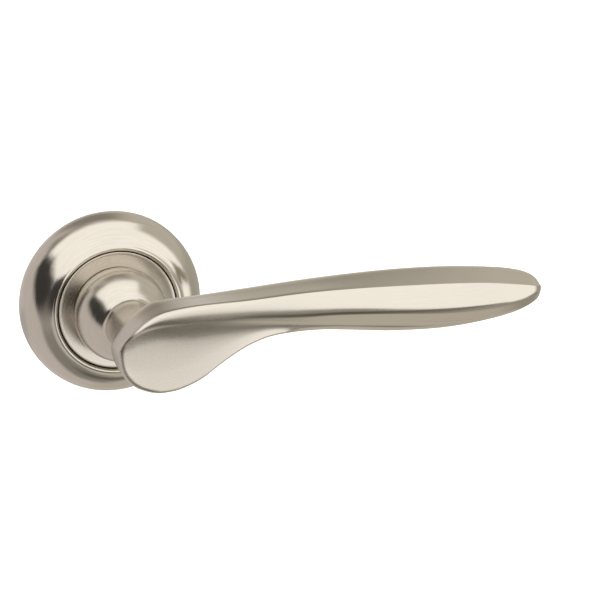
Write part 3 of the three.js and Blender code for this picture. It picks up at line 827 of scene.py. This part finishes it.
lid_screw_place = 14.9
lid_screw_spots = [(lid_screw_place * math.cos(math.radians(a)), lid_screw_place * math.sin(math.radians(a)))
                   for a in (45, 165, 285)]
for x, z in lid_screw_spots:
    cut(plate, shifted(turn("cutter", [(0, 0), (1, 0), (1, 5.8), (0, 5.8)], 24), x, z))
only(plate)
bpy.ops.object.mode_set(mode="EDIT")
bpy.ops.mesh.select_all(action="SELECT")
bpy.ops.mesh.remove_doubles(threshold=3e-6)
bpy.ops.mesh.dissolve_degenerate(threshold=2e-6)
bpy.ops.mesh.select_all(action="SELECT")
bpy.ops.mesh.fill_holes(sides=4)
face_outwards()
smoothed(plate, 40)
fitted(plate, "rose", "cast_zinc", zinc_cast, "base_plate")

lug_half, lever_turn, stop_sweep = 12, 45, 14
lug_slack = math.degrees(0.3 / 13.1)
stop_inner, stop_bite = 11.6, 0.3
stop_low, stop_high = -size_of("stop_cam")[1].y, chamber_top + stop_bite
stop_outer = chamber_radius + stop_bite
stop_outline = [(stop_inner, stop_low), (stop_outer, stop_low),
                (stop_outer, stop_high), (stop_inner, stop_high)]
for lug_middle in (90, 270):
    above = lug_middle + lug_half + lug_slack
    below = lug_middle - lever_turn - lug_half - lug_slack - stop_sweep
    for start in (above, below):
        stop = sector(f"stop_block_{round(start)}", stop_outline, start, stop_sweep, 6)
        fitted(stop, "rose", "cast_zinc", zinc_cast)

# ---------------------------------------------------------------------------------------------
# Chamber lid and its screws. A pressed disc of zinc-plated steel closes the hub at the back, let in
# flush, with three small screws that have slotted heads.
# ---------------------------------------------------------------------------------------------
lid_hole = 6.66
lid_outline = [(lid_hole, lid_back), (lid_radius - 0.15, lid_back), (lid_radius, lid_back + 0.15),
               (lid_radius, lid_top), (lid_hole, lid_top)]
lid = turn("pressed_chamber_lid", lid_outline, 128)
lid_sink = [(0, -1), (1.57, -1), (1.57, 0.36), (1, 0.36), (1, 2), (0, 2)]
for x, z in lid_screw_spots:
    cut(lid, shifted(turn("cutter", lid_sink, 32), x, z))
smoothed(lid, 40)
fitted(lid, "rose", "zinced_steel", zinc_plate, "chamber_lid")

lid_screw_outline = [(0, 0.02), (1.4, 0.02), (1.5, 0.1), (1.5, 0.3), (0.9, 0.3), (0.9, 5.6), (0, 5.6)]
lid_screw = turn("lid_screw_piece_1", lid_screw_outline, 32)
cut(lid_screw, block("cutter", (-2, -0.25, -0.22), (2, 1, 0.22)))
lid_screws = [lid_screw, another(lid_screw, "lid_screw_piece_2"), another(lid_screw, "lid_screw_piece_3")]
for number, (piece, (x, z)) in enumerate(zip(lid_screws, lid_screw_spots), 1):
    smoothed(shifted(piece, x, z), 40)
    fitted(piece, "rose", "zinced_steel", zinc_plate, f"lid_screw_{number}")

# ---------------------------------------------------------------------------------------------
# Grub screw. A hardened M6 screw with a hexagon socket, in a tapped hole under the neck. It clamps
# the spindle in the lever.
# ---------------------------------------------------------------------------------------------
grub_low, grub_high = size_of("grub_screw")
grub_height = -(grub_low.y + grub_high.y) / 2
grub_radius = (grub_high.x - grub_low.x) / 2 - 0.05
grub_inner, grub_outer = -grub_high.z, -grub_low.z - 0.35
grub_bore = grub_radius + 0.15
grub_chamfer = 0.3
hex_corner, hex_depth = 1.73, 1.6


def upright(name, outline, steps):
    """A turned piece stood below the spindle at the grub screw: (radius, depth below the spindle)."""
    piece = turn(name, outline, steps)
    piece.rotation_euler = (math.radians(90), 0, 0)
    piece.location = (0, -grub_height * MM, 0)
    only(piece)
    bpy.ops.object.transform_apply(location=True, rotation=True, scale=False)
    return piece


spring_steel = brushed_surface("oiled_spring_steel", (0.22, 0.225, 0.235), 0.34, straight_hairlines,
                               (1400, 1400, 1400), 0.5, 0.05)
grub_nose = grub_radius - grub_chamfer
grub_outline = [(0, grub_inner), (grub_nose, grub_inner), (grub_radius, grub_inner + grub_chamfer),
                (grub_radius, grub_outer - grub_chamfer), (grub_nose, grub_outer), (0, grub_outer)]
grub = upright("grub_screw_body", grub_outline, 48)
cut(grub, upright("cutter", [(0, grub_outer - hex_depth), (hex_corner, grub_outer - hex_depth),
                             (hex_corner, grub_outer + 1), (0, grub_outer + 1)], 6))
smoothed(grub, 40)
fitted(grub, "handle", "spring_steel", spring_steel, "grub_screw")
cut(neck, upright("cutter", [(0, grub_inner), (grub_bore, grub_inner), (grub_bore, 12), (0, 12)], 48))
smoothed(neck, 30)

# ---------------------------------------------------------------------------------------------
# Working pieces inside the rose. The spring, cam, circlip, washer, snap ring and nylon bush are
# wire, stampings and a moulding. They keep their built shapes, as the cover and the lid hide them.
# ---------------------------------------------------------------------------------------------
nylon = brushed_surface("moulded_nylon", (0.8, 0.79, 0.74), 0.55, straight_hairlines,
                        (600, 600, 600), 0.3, 0.1, metallic=0.0)
for node, finish in (("return_spring", spring_steel), ("circlip", spring_steel),
                     ("cover_snap_ring", spring_steel), ("stop_cam", zinc_plate),
                     ("retaining_washer", zinc_plate), ("bearing_bush", nylon)):
    working_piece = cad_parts[node]
    working_piece.data.materials.clear()
    working_piece.data.materials.append(finish)
